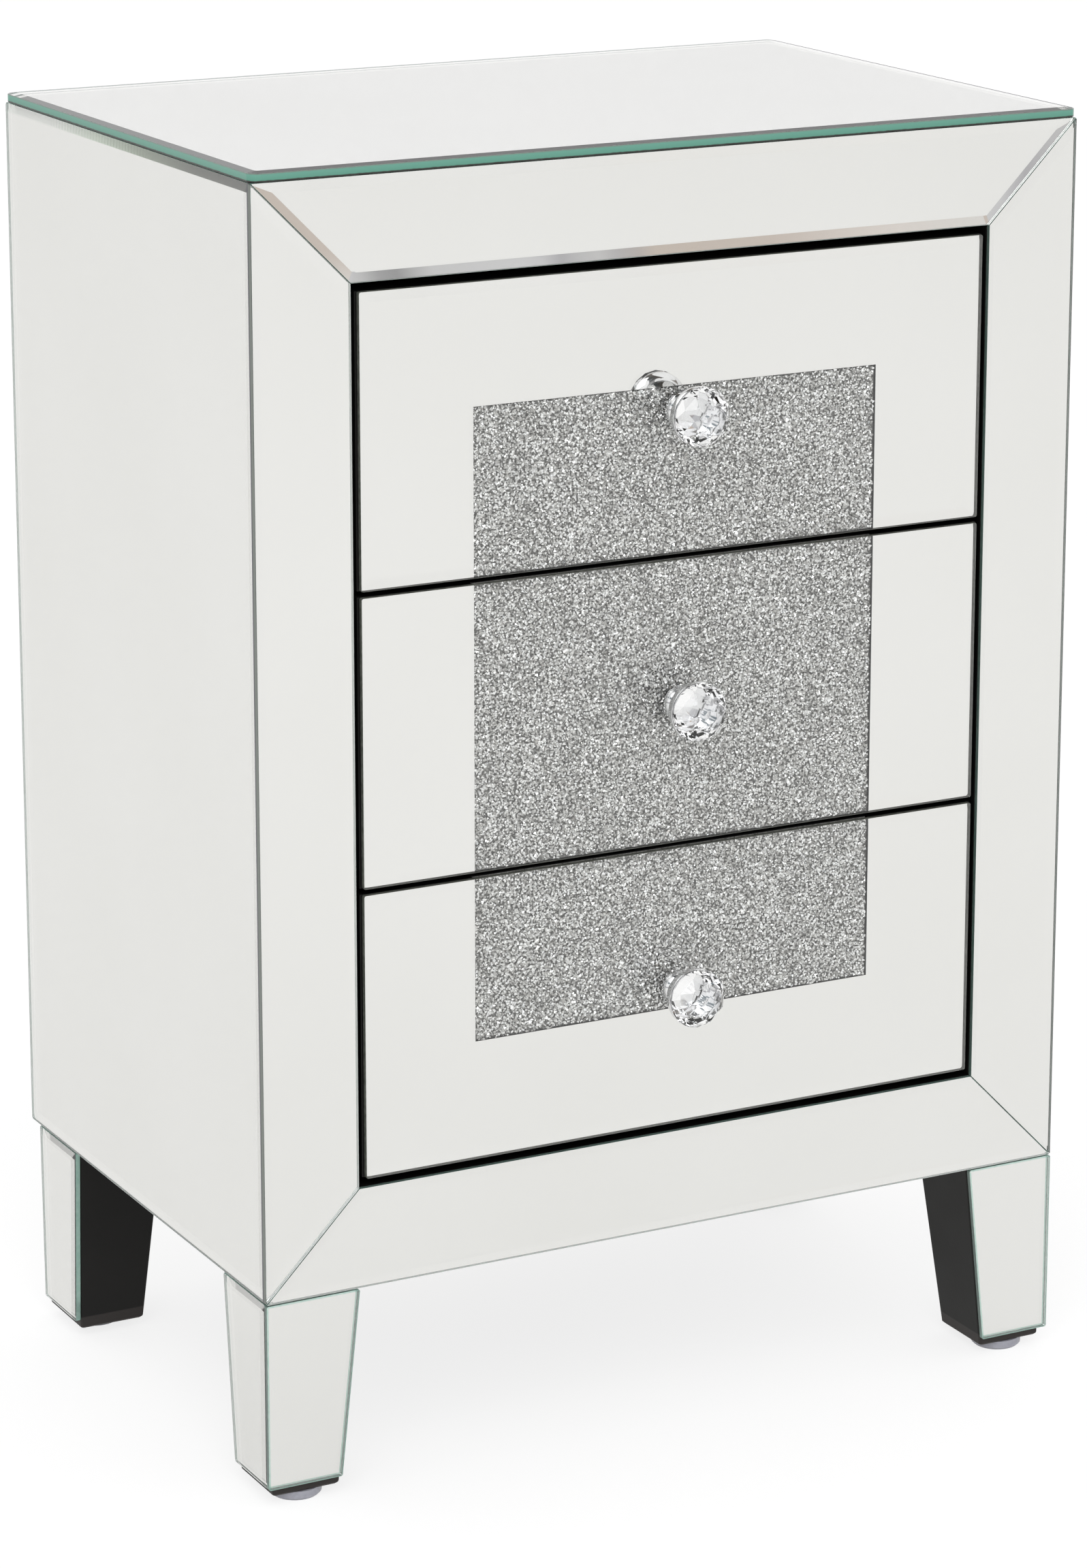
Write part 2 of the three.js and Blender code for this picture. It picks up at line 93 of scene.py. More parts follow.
class Sheet:
    def __init__(self, tree):
        self.tree = tree
        tree.nodes.clear()

    def add(self, kind, settings=None, inputs=None, output=0):
        node = self.tree.nodes.new(kind)
        for name, value in (settings or {}).items():
            if name == "stops":
                self.setStops(node.color_ramp, value)
            else:
                setattr(node, name, value)
        for name, value in (inputs or {}).items():
            if isinstance(value, Wire):
                self.tree.links.new(value.socket, node.inputs[name])
            else:
                node.inputs[name].default_value = value
        return Wire(self, node.outputs[output]) if node.outputs else None

    def setStops(self, ramp, stops):
        while len(ramp.elements) < len(stops):
            ramp.elements.new(1)
        for element, (place, colour) in zip(ramp.elements, stops):
            element.position = place
            element.color = (*colour, 1)

    def place(self):
        return self.add("ShaderNodeTexCoord", output="Object")

    def noise(self, scale, detail=2, place=None):
        where = self.place() if place is None else place
        return self.add("ShaderNodeTexNoise", None, {"Vector": where, "Scale": scale, "Detail": detail})

    def step(self, value, start, end, low, high):
        settings = {"interpolation_type": "SMOOTHSTEP"}
        limits = {"Value": value, 1: start, 2: end, 3: low, 4: high}
        return self.add("ShaderNodeMapRange", settings, limits)

    def ramp(self, factor, stops):
        return self.add("ShaderNodeValToRGB", {"stops": stops}, {"Fac": factor})

    def scaled(self, colour, amount):
        return self.add("ShaderNodeVectorMath", {"operation": "SCALE"}, {0: colour, "Scale": amount})

    def mix(self, factor, first, second):
        return self.add("ShaderNodeMix", {"data_type": "RGBA"}, {0: factor, 6: first, 7: second}, output=2)

    def bump(self, height, distance):
        return self.add("ShaderNodeBump", None, {"Height": height, "Distance": distance, "Strength": 1})

    def mottle(self, noise, look):
        return self.ramp(noise, [(0.3, look["low"]), (0.7, look["high"])])

    def part(self, vector, axis):
        return self.add("ShaderNodeSeparateXYZ", None, {0: vector}, axis)

    def unit(self, vector):
        return self.add("ShaderNodeVectorMath", {"operation": "NORMALIZE"}, {0: vector})

    def dot(self, vector, aim):
        return self.add("ShaderNodeVectorMath", {"operation": "DOT_PRODUCT"}, {0: vector, 1: aim}, "Value")

    def lightPath(self, name):
        return self.add("ShaderNodeLightPath", output=name)

    def surface(self, sockets):
        return self.add("ShaderNodeBsdfPrincipled", None, sockets)


def finish(name, build):
    material = bpy.data.materials.new(name)
    material.use_nodes = True
    sheet = Sheet(material.node_tree)
    sheet.add("ShaderNodeOutputMaterial", None, {"Surface": build(sheet)})
    return material


# Finishes

glassLook = {
    "index": 1.52,
    "waveScale": 9,
    "waveHeight": 0.00002,
    "clear": (0.99, 0.996, 0.992, 1),
}


def polishedGlass(sheet):
    wave = sheet.bump(sheet.noise(glassLook["waveScale"], 1), glassLook["waveHeight"])
    return sheet.surface({
        "Base Color": glassLook["clear"], "Roughness": 0, "IOR": glassLook["index"],
        "Transmission Weight": 1, "Normal": wave,
    })


silverLook = {
    "patches": 6,
    "low": (0.815, 0.808, 0.795),
    "high": (0.835, 0.828, 0.818),
    "roughness": 0.004,
}


def silvering(sheet):
    tone = sheet.mottle(sheet.noise(silverLook["patches"], 3), silverLook)
    return sheet.surface({"Base Color": tone, "Metallic": 1, "Roughness": silverLook["roughness"]})


# Painted shade behind the top bevel of the side mirrors: the silvering is painted dark at the front and
# paler to the back, with painted scalloped highlights to the back
paintedRimShadeLook = {
    "front": -131 * millimetre,
    "depth": 297 * millimetre,
    "scallop": 3.6 * millimetre,
    "paintedScallopHighlight": 0.06,
    "roughness": 0.05,
    "stops": [
        (0.0, (0.17, 0.17, 0.165)), (0.22, (0.19, 0.195, 0.18)), (0.42, (0.32, 0.36, 0.30)),
        (0.6, (0.56, 0.62, 0.54)), (0.8, (0.78, 0.79, 0.77)),
    ],
}


def paintedRimShading(sheet):
    along = sheet.part(sheet.place(), "Y")
    share = (along - paintedRimShadeLook["front"]) * (1 / paintedRimShadeLook["depth"])
    turn = along * (2 * math.pi / paintedRimShadeLook["scallop"])
    wave = sheet.add("ShaderNodeMath", {"operation": "SINE"}, {0: turn})
    tone = sheet.ramp(share + paintedRimShadeLook["paintedScallopHighlight"] * wave * share, paintedRimShadeLook["stops"])
    return sheet.surface({"Base Color": tone, "Metallic": 1, "Roughness": paintedRimShadeLook["roughness"]})


# Ground glass edges: the top's is shaded from below upwards, the front corners' from the front backwards
edgeLook = {
    "streaks": 420,
    "relief": 0.00004,
    "shade": 0.1,
    "gradedRoughness": 0.3,
    "groundRoughness": 0.32,
}
topEdge = {
    "axis": "Z",
    "start": 651.3 * millimetre,
    "span": 4.5 * millimetre,
    "stops": [
        (0.02, (0.012, 0.011, 0.009)), (0.16, (0.03, 0.035, 0.028)), (0.24, (0.115, 0.335, 0.25)),
        (0.78, (0.145, 0.385, 0.30)), (0.9, (0.19, 0.26, 0.22)), (1.0, (0.16, 0.15, 0.16)),
    ],
}
cornerEdge = {
    "axis": "Y",
    "start": -134 * millimetre,
    "span": 5.4 * millimetre,
    "stops": [
        (0.0, (0.035, 0.036, 0.028)), (0.19, (0.06, 0.065, 0.055)), (0.25, (0.155, 0.175, 0.155)),
        (0.76, (0.175, 0.195, 0.175)), (0.84, (0.09, 0.09, 0.10)), (1.0, (0.14, 0.14, 0.17)),
    ],
}
paleEdge = {
    "stops": [(0.35, (0.40, 0.68, 0.58)), (0.7, (0.56, 0.80, 0.72))],
    "clearness": 0.8,
}
# Drawer glass edges: painted shade, an opaque dark grey-brown that stands for the shade of the gap they sit
# in
paintedGapShadeEdge = {
    "stops": [(0.35, (0.10, 0.105, 0.09)), (0.7, (0.19, 0.195, 0.17))],
    "clearness": 0,
}


def shadedEdge(edge):
    def build(sheet):
        streaks = sheet.noise(edgeLook["streaks"], 3)
        along = sheet.part(sheet.place(), edge["axis"])
        share = (along - edge["start"]) * (1 / edge["span"])
        tone = sheet.ramp(share + edgeLook["shade"] * (streaks - 0.5), edge["stops"])
        return sheet.surface({
            "Base Color": tone, "Roughness": edgeLook["gradedRoughness"], "IOR": glassLook["index"],
            "Normal": sheet.bump(streaks, edgeLook["relief"]),
        })
    return build


def groundEdge(edge):
    def build(sheet):
        streaks = sheet.noise(edgeLook["streaks"], 3)
        return sheet.surface({
            "Base Color": sheet.ramp(streaks, edge["stops"]), "Roughness": edgeLook["groundRoughness"],
            "IOR": glassLook["index"], "Transmission Weight": edge["clearness"],
            "Normal": sheet.bump(streaks, edgeLook["relief"]),
        })
    return build


paintLook = {
    "blotches": 35,
    "stops": [(0.3, (0.006, 0.0056, 0.0052)), (0.75, (0.011, 0.0102, 0.0095))],
    "roughness": 0.42,
    "blotchRoughness": 0.16,
    "peelScale": 900,
    "peelHeight": 0.00003,
    "gloss": 0.22,
    "footColour": (0.042, 0.037, 0.035, 1),
    "footBandTop": 11 * millimetre,
}


def blackPaint(sheet):
    blotch = sheet.noise(paintLook["blotches"], 4)
    peel = sheet.noise(paintLook["peelScale"], 2)
    top = paintLook["footBandTop"]
    # lighter, browner colour on the lowest 11 mm of the painted parts
    foot = sheet.step(sheet.part(sheet.place(), "Z"), top, top + millimetre, 1, 0)
    return sheet.surface({
        "Base Color": sheet.mix(foot, sheet.ramp(blotch, paintLook["stops"]), paintLook["footColour"]),
        "Roughness": paintLook["roughness"] + paintLook["blotchRoughness"] * blotch,
        "Specular IOR Level": paintLook["gloss"], "Normal": sheet.bump(peel, paintLook["peelHeight"]),
    })


chromeLook = {
    "haze": 160,
    "low": (0.76, 0.765, 0.77),
    "high": (0.83, 0.835, 0.84),
    "roughness": 0.02,
    "hazeRoughness": 0.03,
}


def polishedChrome(sheet):
    haze = sheet.noise(chromeLook["haze"], 3)
    return sheet.surface({
        "Base Color": sheet.mottle(haze, chromeLook), "Metallic": 1,
        "Roughness": chromeLook["roughness"] + chromeLook["hazeRoughness"] * haze,
    })


crystalLook = {
    "colour": (0.985, 0.985, 0.99, 1),
    "index": 1.56,
    "swirls": 90,
    "relief": 0.000004,
}


def cutCrystal(sheet):
    swirl = sheet.noise(crystalLook["swirls"], 2)
    return sheet.surface({
        "Base Color": crystalLook["colour"], "Roughness": 0, "IOR": crystalLook["index"],
        "Transmission Weight": 1, "Normal": sheet.bump(swirl, crystalLook["relief"]),
    })


# Crushed glass: facets toned at random from grey to white, partly painted glints for facets that catch the
# light
chipLook = {
    "stops": [
        (0.0, (0.42, 0.412, 0.40)), (0.3, (0.64, 0.632, 0.615)), (0.52, (0.84, 0.835, 0.82)),
        (0.62, (1, 1, 1)),
    ],
    "silvered": 0.8,
    "roughness": 0.3,
    "polish": 0.18,
    "gloss": 0.6,
}


def crushedGlass(sheet):
    facet = sheet.add("ShaderNodeAttribute", {"attribute_name": "facetTone"}, output="Fac")
    return sheet.surface({
        "Base Color": sheet.ramp(facet, chipLook["stops"]), "Metallic": chipLook["silvered"],
        "Roughness": chipLook["roughness"] - chipLook["polish"] * facet,
        "Specular IOR Level": chipLook["gloss"],
    })


backingLook = {
    "grain": 1500,
    "low": (0.17, 0.165, 0.155),
    "high": (0.42, 0.415, 0.40),
    "roughness": 0.5,
}


def crystalBacking(sheet):
    tone = sheet.mottle(sheet.noise(backingLook["grain"], 2), backingLook)
    return sheet.surface({"Base Color": tone, "Roughness": backingLook["roughness"]})


glideLook = {
    "grain": 500,
    "low": (0.42, 0.42, 0.49),
    "high": (0.50, 0.50, 0.57),
    "roughness": 0.3,
    "grainRoughness": 0.1,
    "clearness": 0.25,
    "relief": 0.00001,
}


def glidePlastic(sheet):
    grain = sheet.noise(glideLook["grain"], 2)
    return sheet.surface({
        "Base Color": sheet.mottle(grain, glideLook), "Transmission Weight": glideLook["clearness"],
        "Roughness": glideLook["roughness"] + glideLook["grainRoughness"] * grain,
        "Normal": sheet.bump(grain, glideLook["relief"]),
    })


zincLook = {
    "grain": 700,
    "low": (0.42, 0.43, 0.45),
    "high": (0.60, 0.60, 0.58),
    "roughness": 0.25,
    "grainRoughness": 0.2,
}


def zincPlate(sheet):
    grain = sheet.noise(zincLook["grain"], 3)
    return sheet.surface({
        "Base Color": sheet.mottle(grain, zincLook), "Metallic": 1,
        "Roughness": zincLook["roughness"] + zincLook["grainRoughness"] * grain,
    })


finishes = {
    "glass": finish("polished_glass", polishedGlass),
    "silver": finish("silvering", silvering),
    "deepEdge": finish("deep_green_edge", shadedEdge(topEdge)),
    "paintedRimShade": finish("rim_painted_shade", paintedRimShading),
    "cornerEdge": finish("corner_edge", shadedEdge(cornerEdge)),
    "paleEdge": finish("pale_green_edge", groundEdge(paleEdge)),
    "paintedGapShadeEdge": finish("painted_gap_shade_edge", groundEdge(paintedGapShadeEdge)),
    "paint": finish("satin_black_paint", blackPaint),
    "chrome": finish("polished_chrome", polishedChrome),
    "crystal": finish("cut_crystal", cutCrystal),
    "chips": finish("crushed_glass", crushedGlass),
    "backing": finish("crystal_backing", crystalBacking),
    "glide": finish("glide_plastic", glidePlastic),
    "zinc": finish("zinc_plate", zincPlate),
}
print("stage: finishes made")


# Working in edit mode on one piece at a time

mergeReach = 0.01 * millimetre


def selectAlone(piece):
    bpy.ops.object.select_all(action="DESELECT")
    piece.select_set(True)
    bpy.context.view_layer.objects.active = piece


def openForEditing(piece):
    selectAlone(piece)
    bpy.ops.object.mode_set(mode="EDIT")
    bpy.ops.mesh.select_all(action="SELECT")


def closeEditing():
    bpy.ops.object.mode_set(mode="OBJECT")
    bpy.ops.object.select_all(action="DESELECT")


def selectEdges(piece, test):
    bpy.ops.mesh.select_mode(type="EDGE")
    bpy.ops.mesh.select_all(action="DESELECT")
    shape = bmesh.from_edit_mesh(piece.data)
    for edge in shape.edges:
        if len(edge.link_faces) == 2 and test(*(face.normal for face in edge.link_faces)):
            edge.select_set(True)
    bmesh.update_edit_mesh(piece.data)


def bevelSelected(offset, segments):
    bpy.ops.mesh.bevel(offset=offset, segments=segments, affect="EDGES", clamp_overlap=True)


def copyOfNode(node, ending):
    piece = bpy.data.objects.new(f"{node}_{ending}", nodes[node].data.copy())
    bpy.context.scene.collection.objects.link(piece)
    piece.data.materials.clear()
    openForEditing(piece)
    bpy.ops.mesh.customdata_custom_splitnormals_clear()
    bpy.ops.mesh.remove_doubles(threshold=mergeReach)
    bpy.ops.mesh.dissolve_limited(angle_limit=math.radians(0.3))     # flat faces lose their triangles
    bpy.ops.mesh.faces_shade_flat()
    closeEditing()
    return piece


def standFor(piece, node):
    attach(piece, bodyOf[node])
    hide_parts(node)


# Painted boards and legs: every sharp edge is eased

boardEdges = {
    "ease": 0.45 * millimetre,
    "segments": 2,
    "sharp": math.cos(math.radians(50)),
}


def paintedBoard(node):
    piece = copyOfNode(node, "painted")
    openForEditing(piece)
    selectEdges(piece, lambda one, other: one.dot(other) < boardEdges["sharp"])
    bevelSelected(boardEdges["ease"], boardEdges["segments"])
    closeEditing()
    piece.data.materials.append(finishes["paint"])
    standFor(piece, node)


# Mirror plates: clear glass in front, a ground edge all round and silvering on the back

plateCut = {
    "arris": 0.22 * millimetre,
    "mitredArris": 0.1 * millimetre,
    "facing": 0.9,                      # least cosine of a face that counts as front or back
    "edgewise": 0.3,                    # greatest cosine of a face that counts as an edge
    "darkFrontBand": 2.1 * millimetre,    # dark band at the cabinet's front corners
    "rim": 5 * millimetre,              # band of painted shade under the top bevel of the side mirrors
    "cornerFrom": 215 * millimetre,
    "windowOverrun": 0.5 * millimetre,
}
topCut = {
    "drop": 1 * millimetre,             # bevel of the node
    "width": 6 * millimetre,
    "shownDrop": 0.8 * millimetre,      # bevel of the finished piece
    "shownWidth": 4.2 * millimetre,
}
frontStrips = ["top_front_mirror", "bottom_front_mirror", "left_front_mirror", "right_front_mirror"]


def facing(node):
    if node == "top_glass":
        return Vector((0, 0, 1))
    if node.endswith("side_mirror"):
        low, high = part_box(node)
        return Vector((math.copysign(1, low.x + high.x), 0, 0))
    return Vector((0, -1, 0))


def arrisPlate(piece, outward, offset):
    def isRim(one, other):
        leans = [abs(one.dot(outward)), abs(other.dot(outward))]
        return min(leans) < plateCut["edgewise"] and max(leans) > plateCut["facing"]

    selectEdges(piece, isRim)
    bevelSelected(offset, 1)


def silverPlate(piece, outward, edge, clearInside=None):
    for name in ("glass", "silver", edge):
        piece.data.materials.append(finishes[name])
    for face in piece.data.polygons:
        lean = face.normal.dot(outward)
        if lean > plateCut["facing"]:
            face.material_index = 0
        elif lean < -plateCut["facing"]:
            face.material_index = 0 if clearInside and clearInside(face.center) else 1
        else:
            face.material_index = 2


def refinish(piece, name, test):
    piece.data.materials.append(finishes[name])
    for face in piece.data.polygons:
        if test(face):
            face.material_index = len(piece.data.materials) - 1


def moveRing(piece, height, rise, wider=(1, 1, 1), middle=(0, 0, 0)):
    bpy.ops.mesh.select_mode(type="VERT")
    bpy.ops.mesh.select_all(action="DESELECT")
    for corner in bmesh.from_edit_mesh(piece.data).verts:
        corner.select_set(abs(corner.co.z - height) < 0.1 * millimetre)
    bpy.ops.transform.translate(value=(0, 0, rise))
    bpy.ops.transform.resize(value=wider, center_override=middle)


def reshapeTop(piece, low, high):
    moveRing(piece, high.z - topCut["drop"], topCut["drop"] - topCut["shownDrop"])
    half, middle = (high - low) / 2, (high + low) / 2
    wider = [(reach - topCut["shownWidth"]) / (reach - topCut["width"]) for reach in half[:2]]
    moveRing(piece, high.z, 0, (*wider, 1), middle)


def bandAcross(place, across):
    bpy.ops.mesh.select_all(action="SELECT")
    bpy.ops.mesh.bisect(plane_co=place, plane_no=across)


def mirrorPlate(node):
    piece = copyOfNode(node, "plate")
    outward = facing(node)
    low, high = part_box(node)
    frontBand, rimBand = low.y + plateCut["darkFrontBand"], high.z - plateCut["rim"]
    cabinetSide = node in ("left_side_mirror", "right_side_mirror")
    openForEditing(piece)
    if node == "top_glass":
        reshapeTop(piece, low, high)
    arrisPlate(piece, outward, plateCut["mitredArris" if node in frontStrips else "arris"])
    if cabinetSide:
        bandAcross((0, frontBand, 0), (0, 1, 0))
        bandAcross((0, 0, rimBand), (0, 0, 1))
    closeEditing()
    silverPlate(piece, outward, "deepEdge" if node == "top_glass" else "paleEdge")
    if cabinetSide:
        # the silvering under the top bevel gets painted shade and painted scalloped highlights
        refinish(piece, "paintedRimShade", lambda face: face.material_index == 1 and face.center.z > rimBand)
        refinish(piece, "cornerEdge", lambda face: face.center.y < frontBand)
    elif node in ("left_front_mirror", "right_front_mirror"):
        refinish(piece, "cornerEdge", lambda face: abs(face.normal.x) > plateCut["facing"]
                 and abs(face.center.x) > plateCut["cornerFrom"])
    standFor(piece, node)


def drawerPlate(drawer):
    node = f"{drawer}_mirror"
    low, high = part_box(f"{drawer}_crystal_inlay")
    plateLow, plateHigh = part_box(node)
    piece = copyOfNode(node, "plate")
    openForEditing(piece)
    arrisPlate(piece, facing(node), plateCut["arris"])
    bandAcross((low.x, 0, 0), (1, 0, 0))
    bandAcross((high.x, 0, 0), (1, 0, 0))
    if low.z > plateLow.z + millimetre:
        bandAcross((0, 0, low.z), (0, 0, 1))
    if high.z < plateHigh.z - millimetre:
        bandAcross((0, 0, high.z), (0, 0, 1))
    closeEditing()
    spare = plateCut["windowOverrun"]

    def inWindow(point):
        return low.x < point.x < high.x and low.z - spare < point.z < high.z + spare

    # the drawer glass edges get the painted gap shade
    silverPlate(piece, facing(node), "paintedGapShadeEdge", inWindow)
    standFor(piece, node)


# Crushed crystal: sharp chips bonded on a backing, one chip shaped once and copied

crush = {
    "pitch": 1.14 * millimetre,
    "radius": 0.98 * millimetre,
    "smallest": 0.7,                    # shares of the radius
    "largest": 1.25,
    "room": 0.8,
    "uneven": 0.34,
    "backing": 0.5 * millimetre,
    "backingOverlap": 0.1 * millimetre,
    "clearOfGlass": 0.06 * millimetre,
    "behindGlass": 0.35 * millimetre,
    "beforeBacking": 0.1 * millimetre,
    "screwClear": 4.5 * millimetre,
    "seed": 11,
}


def chipShape():
    bpy.ops.mesh.primitive_cone_add(
        vertices=4, radius1=1, depth=1, end_fill_type="NOTHING", location=(0, 0, 0))
    chip = bpy.context.object
    openForEditing(chip)
    bpy.ops.transform.translate(value=(0, 0, 0.5))     # half the cone's depth, so its open end lies at zero
    bpy.ops.mesh.duplicate()
    bpy.ops.transform.resize(value=(1, 1, -1), center_override=(0, 0, 0))
    bpy.ops.mesh.select_all(action="SELECT")
    bpy.ops.mesh.remove_doubles(threshold=0.01)
    bpy.ops.mesh.normals_make_consistent(inside=False)
    closeEditing()
    corners = np.array([corner.co for corner in chip.data.vertices])
    sides = np.array([list(face.vertices) for face in chip.data.polygons])
    print("stage: one chip,", len(corners), "corners,", len(sides), "facets")
    bpy.data.objects.remove(chip)
    return corners, sides


def turns(count, random):
    quarter = random.normal(size=(count, 4))
    w, x, y, z = (quarter / np.linalg.norm(quarter, axis=1)[:, None]).T
    return np.stack([
        np.stack([1 - 2 * (y * y + z * z), 2 * (x * y - z * w), 2 * (x * z + y * w)], 1),
        np.stack([2 * (x * y + z * w), 1 - 2 * (x * x + z * z), 2 * (y * z - x * w)], 1),
        np.stack([2 * (x * z - y * w), 2 * (y * z + x * w), 1 - 2 * (x * x + y * y)], 1),
    ], 1)


# Middles of the chips: an uneven grid, clear of the knob's screw
def chipPlaces(low, high, screw, random):
    room, pitch = crush["radius"] * crush["room"], crush["pitch"]
    across = np.arange(low[0] + room, high[0] - room, pitch)
    up = np.arange(low[2] + room, high[2] - room, pitch)
    x, z = (grid.ravel() for grid in np.meshgrid(across, up))
    x = x + random.uniform(-0.5, 0.5, x.size) * pitch
    z = z + random.uniform(-0.5, 0.5, z.size) * pitch
    clear = np.hypot(x - screw[0], z - screw[2]) > crush["screwClear"]
    x, z = x[clear], z[clear]
    y = random.uniform(low[1] + crush["behindGlass"], high[1] - crush["beforeBacking"], x.size)
    return np.stack([x, y, z], 1)


def placedChips(corners, places, low, high, random):
    count = len(places)
    size = crush["radius"] * random.uniform(crush["smallest"], crush["largest"], count)
    shaped = corners[None] * (1 + crush["uneven"] * random.uniform(-1, 1, (count, len(corners), 1)))
    placed = np.einsum("nij,nkj->nki", turns(count, random), shaped) * size[:, None, None]
    return (placed + places[:, None, :]).clip(low, high)


def crushedCrystal(drawer, order, chip):
    node = f"{drawer}_crystal_inlay"
    low, high = (np.array(corner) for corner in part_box(node))
    screw = sum(np.array(corner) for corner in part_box(f"{drawer}_knob_screw")) / 2
    random = np.random.default_rng(crush["seed"] + order)
    corners, sides = chip
    front = low + (0, crush["clearOfGlass"], 0)
    back = high - (0, crush["backing"], 0)
    places = chipPlaces(front, back, screw, random)
    placed = placedChips(corners, places, front, back, random)
    faces = sides[None] + (np.arange(len(places)) * len(corners))[:, None, None]
    mesh = bpy.data.meshes.new(f"{drawer}_crushed_crystal")
    mesh.from_pydata(placed.reshape(-1, 3), [], faces.reshape(-1, 3))
    # a random tone for each facet, partly painted glints
    tone = mesh.attributes.new("facetTone", "FLOAT", "FACE")
    tone.data.foreach_set("value", random.uniform(0, 1, len(mesh.polygons)).astype(np.float32))
    piece = bpy.data.objects.new(f"{drawer}_crushed_crystal", mesh)
    bpy.context.scene.collection.objects.link(piece)
    for name in ("chips", "backing"):
        mesh.materials.append(finishes[name])
    addBacking(piece, Vector((low[0], back[1] - crush["backingOverlap"], low[2])), Vector(high))
    standFor(piece, node)
    print("stage:", drawer, "crushed crystal,", len(mesh.polygons), "facets")


def addBacking(piece, low, high):
    bpy.ops.mesh.primitive_cube_add(size=1, location=(low + high) / 2, scale=high - low)
    backing = bpy.context.object
    for name in ("chips", "backing"):
        backing.data.materials.append(finishes[name])
    for face in backing.data.polygons:
        face.material_index = 1
    selectAlone(piece)
    backing.select_set(True)
    bpy.ops.object.join()
    bpy.ops.object.select_all(action="DESELECT")


# Turned pieces: plated screws, moulded glides and the chrome bases of the knobs

turnedSmooth = math.radians(34)


def smoothTurned(piece):
    selectAlone(piece)
    bpy.ops.object.shade_smooth_by_angle(angle=turnedSmooth)
    bpy.ops.object.select_all(action="DESELECT")


def turnedPiece(node, ending, finishName):
    piece = copyOfNode(node, ending)
    smoothTurned(piece)
    piece.data.materials.append(finishes[finishName])
    standFor(piece, node)


# Sizes in millimetres; a pair is a radius and a place out from the glass
knobTurning = {
    "steps": 72,
    "bore": (2.1, 8),
    "seat": 0.2,
    "foot": {"radius": 8.8, "rounding": 0.5, "edge": 1, "top": 5.4, "steps": 9},
    "neck": 5.5,
    "cup": {"radius": 14.6, "rim": 18.9, "depth": 12.8, "steps": 14},
    "cupInside": [(14.5, 19.15), (14.2, 19.3), (13.9, 19.3), (11.6, 15.8), (6.6, 11.3), (0, 11.3)],
}


def footCurve():
    foot, neck = knobTurning["foot"], knobTurning["neck"]
    for step in range(foot["steps"] + 1):
        angle = math.pi / 2 * step / foot["steps"]
        radius = neck + (foot["radius"] - neck) * math.cos(angle)
        yield radius, foot["edge"] + (foot["top"] - foot["edge"]) * math.sin(angle)


def cupCurve():
    cup = knobTurning["cup"]
    root = math.asin(knobTurning["neck"] / cup["radius"])
    for step in range(cup["steps"] + 1):
        angle = root + (math.pi / 2 - root) * step / cup["steps"]
        yield cup["radius"] * math.sin(angle), cup["rim"] - cup["depth"] * math.cos(angle)


def baseOutline():
    foot, seat = knobTurning["foot"], knobTurning["seat"]
    bore, depth = knobTurning["bore"]
    return [
        (0, depth), (bore, depth), (bore, seat), (foot["radius"] - foot["rounding"], seat),
        (foot["radius"], seat + foot["rounding"]), *footCurve(), *cupCurve(), *knobTurning["cupInside"],
    ]


def turnedBase():
    first, *rest = [Vector((radius, -out, 0)) * millimetre for radius, out in baseOutline()]
    bpy.ops.mesh.primitive_plane_add(size=millimetre, location=(0, 0, 0))
    base = bpy.context.object
    openForEditing(base)
    bpy.ops.mesh.select_mode(type="VERT")
    bpy.ops.mesh.select_all(action="SELECT")
    bpy.ops.mesh.merge(type="CENTER")
    bpy.ops.transform.translate(value=first)
    before = first
    for point in rest:
        bpy.ops.mesh.extrude_region_move(TRANSFORM_OT_translate={"value": point - before})
        before = point
    bpy.ops.mesh.select_all(action="SELECT")
    bpy.ops.mesh.spin(steps=knobTurning["steps"], angle=2 * math.pi, center=(0, 0, 0), axis=(0, 1, 0))
    bpy.ops.mesh.select_all(action="SELECT")
    bpy.ops.mesh.remove_doubles(threshold=mergeReach)
    bpy.ops.mesh.normals_make_consistent(inside=False)
    closeEditing()
    base.data.materials.append(finishes["chrome"])
    return base


def knobBase(pattern, drawer):
    node = f"{drawer}_knob_base"
    low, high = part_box(node)
    piece = bpy.data.objects.new(f"{node}_polished", pattern.data.copy())
    bpy.context.scene.collection.objects.link(piece)
    openForEditing(piece)
    glass = high.y + knobTurning["seat"] * millimetre
    bpy.ops.transform.translate(value=((low.x + high.x) / 2, glass, (low.z + high.z) / 2))
    closeEditing()
    smoothTurned(piece)
    standFor(piece, node)


# Cut crystals: the facets' edges are eased by a hair

crystalArris = 0.13 * millimetre


def knobCrystal(node):
    piece = copyOfNode(node, "cut")
    openForEditing(piece)
    bevelSelected(crystalArris, 1)
    closeEditing()
    piece.data.materials.append(finishes["crystal"])
    standFor(piece, node)


for node, slot in slotOf.items():
    if slot == "black_board":
        paintedBoard(node)
    elif slot == "mirror_glass" and bodyOf[node] == "cabinet":
        mirrorPlate(node)
    elif slot == "zinc_screw":
        turnedPiece(node, "plated", "zinc")
    elif slot == "glide_plastic":
        turnedPiece(node, "moulded", "glide")
    elif slot == "cut_crystal":
        knobCrystal(node)
chromeBase = turnedBase()
chip = chipShape()
for order, drawer in enumerate(drawers):
    knobBase(chromeBase, drawer)
    drawerPlate(drawer)
    crushedCrystal(drawer, order, chip)
bpy.data.objects.remove(chromeBase)
print("stage: pieces dressed")
